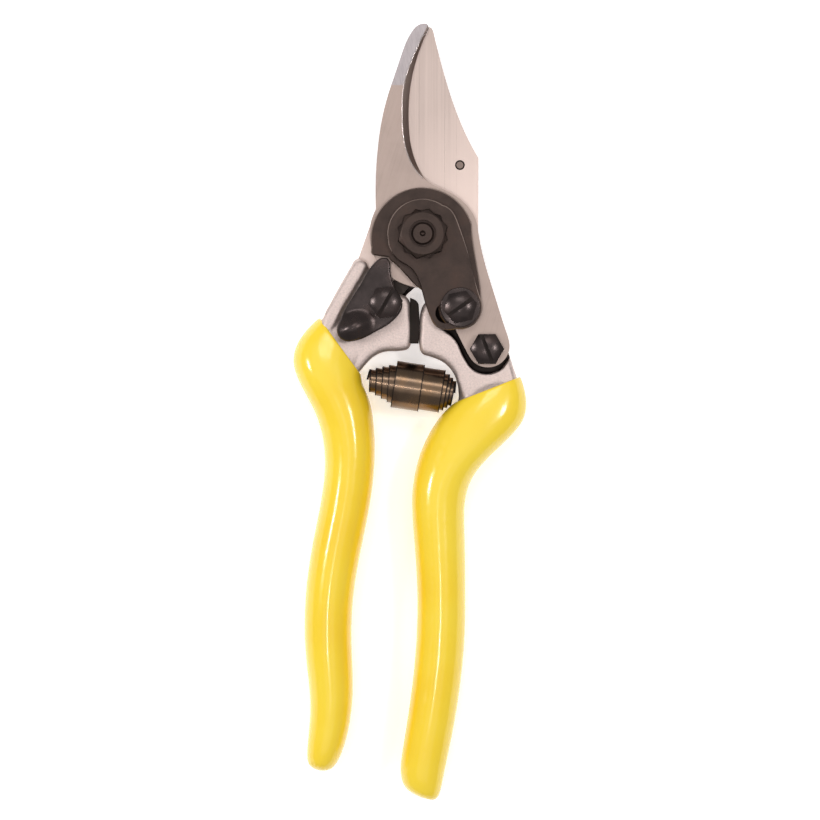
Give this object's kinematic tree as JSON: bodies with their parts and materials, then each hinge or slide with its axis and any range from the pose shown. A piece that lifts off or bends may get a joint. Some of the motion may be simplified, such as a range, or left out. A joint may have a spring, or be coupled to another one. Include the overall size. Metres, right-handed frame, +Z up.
{
  "type": "bypass pruner",
  "caption": "One-hand bypass pruner with a hook blade, a cutting blade, dipped grips, a volute spring and a thumb catch, shut and latched.",
  "frame": {"origin": "on the pivot axis, at the back face of the pivot bolt's head, which lies on the plane that the pruner rests on", "axes": "+Z up from the resting plane along the pivot axis, +Y towards the tips of the jaws, +X towards the hook blade's handle"},
  "size_m": [0.0631, 0.2097, 0.0194],
  "materials": {
    "polished_blade": "brushed lengthwise",
    "satin_hook": "satin ground",
    "blast_aluminium": "blasted casting",
    "yellow_vinyl": "gloss dipped",
    "black_oxide": "black oxide, satin",
    "dark_screw": "black oxide, gloss",
    "spring_bronze": "tempered strip",
    "black_rubber": "matt",
    "plain_steel": "plain"
  },
  "bodies": {
    "hook_handle": {"hook_handle_casting": "blast_aluminium", "hook_handle_grip": "yellow_vinyl", "hook_blade": "satin_hook", "segment_plate": "black_oxide", "lock_plate": "black_oxide", "lock_plate_screw": "dark_screw", "hook_blade_screw": "dark_screw", "pivot_bolt": "dark_screw", "pivot_washer": "plain_steel", "pivot_nut": "black_oxide", "volute_spring": "spring_bronze"},
    "blade_handle": {"blade_handle_casting": "blast_aluminium", "blade_handle_grip": "yellow_vinyl", "cutting_blade": "polished_blade", "blade_pin": "black_oxide", "blade_tang_screw": "plain_steel", "rubber_bumper": "black_rubber", "catch_screw": "dark_screw", "catch_spring_washer": "plain_steel"},
    "catch": {"thumb_catch": "dark_screw"}
  },
  "joints": [
    {"name": "jaw_pivot", "type": "hinge", "parent": "hook_handle", "child": "blade_handle", "pos_m": [0, 0, 0.008], "axis": [0, 0, -1], "range_deg": [0, 32], "deforming": ["volute_spring"]},
    {"name": "catch_pivot", "type": "hinge", "parent": "blade_handle", "child": "catch", "pos_m": [-0.0099, -0.0185, 0.0136], "axis": [0, 0, 1], "range_deg": [0, 24]}
  ]
}
